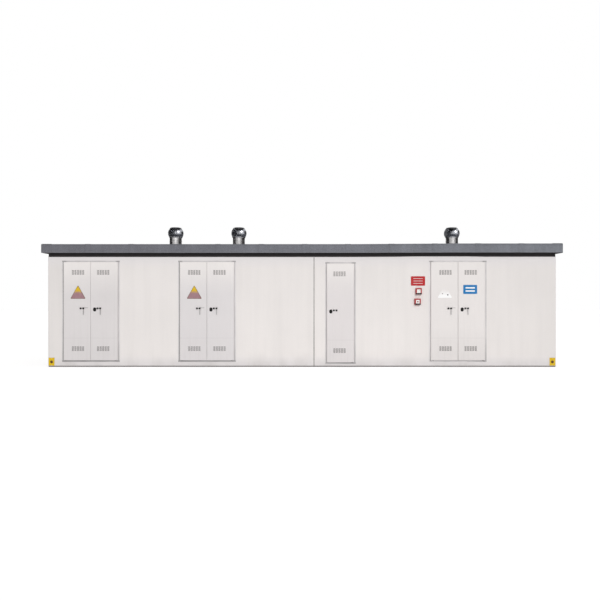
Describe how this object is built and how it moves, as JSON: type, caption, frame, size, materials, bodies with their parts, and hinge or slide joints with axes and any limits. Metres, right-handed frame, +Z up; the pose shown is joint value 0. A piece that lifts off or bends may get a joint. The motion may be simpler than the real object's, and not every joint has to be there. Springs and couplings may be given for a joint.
{
  "type": "prefabricated substation",
  "caption": "Low concrete cabin of joined modules with a flat overhanging roof, grey glass-fibre doors that swing outwards and wind-driven turbine vents on the roof.",
  "frame": {"origin": "middle of the base, on the ground", "axes": "+X along the building, to the right seen from the doors; -Y out of the doors; +Z up"},
  "size_m": [11.124, 2.69, 3.153],
  "materials": {
    "wall_render": "fine rendered concrete",
    "floor_concrete": "floated concrete",
    "dark_strip": "bitumen coat",
    "joint_filler": "sealant",
    "roof_felt": "mineral felt",
    "door_grp": "moulded glass fibre",
    "frame_grp": "moulded glass fibre",
    "vent_steel": "bright sheet",
    "zinc_steel": "dull zinc",
    "lock_black": "moulded",
    "call_red": "moulded",
    "call_white": "moulded"
  },
  "bodies": {
    "building": {"base_strips": "dark_strip", "floor_slabs": "floor_concrete", "front_wall_1": "wall_render", "front_wall_2": "wall_render", "front_wall_3": "wall_render", "front_wall_4": "wall_render", "front_wall_5": "wall_render", "front_wall_6": "wall_render", "door_lintels": "wall_render", "door_sills": "wall_render", "left_end_wall": "wall_render", "right_end_wall": "wall_render", "rear_wall_left": "wall_render", "rear_wall_right": "wall_render", "module_joint_seals": "joint_filler", "roof_seat_strips": "dark_strip", "roof_slab_left": "floor_concrete", "roof_slab_right": "floor_concrete", "roof_felt": "roof_felt", "vent_necks": "vent_steel", "vent_spindles": "zinc_steel", "door_1_frame": "frame_grp", "door_2_frame": "frame_grp", "door_3_frame": "frame_grp", "door_4_frame": "frame_grp", "call_points": "call_red", "call_point_panels": "call_white"},
    "vent_head_1": {"vent_rotor_1": "vent_steel"},
    "vent_head_2": {"vent_rotor_2": "vent_steel"},
    "vent_head_3": {"vent_rotor_3": "vent_steel"},
    "door_1_left": {"door_1_left_leaf": "door_grp", "door_1_left_handle": "zinc_steel"},
    "door_1_right": {"door_1_right_leaf": "door_grp", "door_1_right_handle": "zinc_steel", "door_1_lock": "lock_black"},
    "door_2_left": {"door_2_left_leaf": "door_grp", "door_2_left_handle": "zinc_steel"},
    "door_2_right": {"door_2_right_leaf": "door_grp", "door_2_right_handle": "zinc_steel", "door_2_lock": "lock_black"},
    "door_3": {"door_3_leaf": "door_grp", "door_3_handle": "zinc_steel", "door_3_lock": "lock_black"},
    "door_4_left": {"door_4_left_leaf": "door_grp", "door_4_left_handle": "zinc_steel"},
    "door_4_right": {"door_4_right_leaf": "door_grp", "door_4_right_handle": "zinc_steel", "door_4_lock": "lock_black"}
  },
  "joints": [
    {"name": "vent_1_spin", "type": "hinge", "parent": "building", "child": "vent_head_1", "pos_m": [-2.978, 0, 3.085], "axis": [0, 0, 1], "continuous": true},
    {"name": "vent_2_spin", "type": "hinge", "parent": "building", "child": "vent_head_2", "pos_m": [-1.487, 0, 3.085], "axis": [0, 0, 1], "continuous": true},
    {"name": "vent_3_spin", "type": "hinge", "parent": "building", "child": "vent_head_3", "pos_m": [3.544, 0, 3.085], "axis": [0, 0, 1], "continuous": true},
    {"name": "door_1_left_swing", "type": "hinge", "parent": "building", "child": "door_1_left", "pos_m": [-5.0975, -1.245, 1.194], "axis": [0, 0, -1], "range_deg": [0, 100]},
    {"name": "door_1_right_swing", "type": "hinge", "parent": "building", "child": "door_1_right", "pos_m": [-3.9685, -1.245, 1.194], "axis": [0, 0, 1], "range_deg": [0, 100]},
    {"name": "door_2_left_swing", "type": "hinge", "parent": "building", "child": "door_2_left", "pos_m": [-2.6045, -1.245, 1.194], "axis": [0, 0, -1], "range_deg": [0, 100]},
    {"name": "door_2_right_swing", "type": "hinge", "parent": "building", "child": "door_2_right", "pos_m": [-1.4755, -1.245, 1.194], "axis": [0, 0, 1], "range_deg": [0, 100]},
    {"name": "door_3_swing", "type": "hinge", "parent": "building", "child": "door_3", "pos_m": [1.101, -1.245, 1.1565], "axis": [0, 0, 1], "range_deg": [0, 100]},
    {"name": "door_4_left_swing", "type": "hinge", "parent": "building", "child": "door_4_left", "pos_m": [2.7815, -1.245, 1.194], "axis": [0, 0, -1], "range_deg": [0, 100]},
    {"name": "door_4_right_swing", "type": "hinge", "parent": "building", "child": "door_4_right", "pos_m": [3.9105, -1.245, 1.194], "axis": [0, 0, 1], "range_deg": [0, 100]}
  ]
}
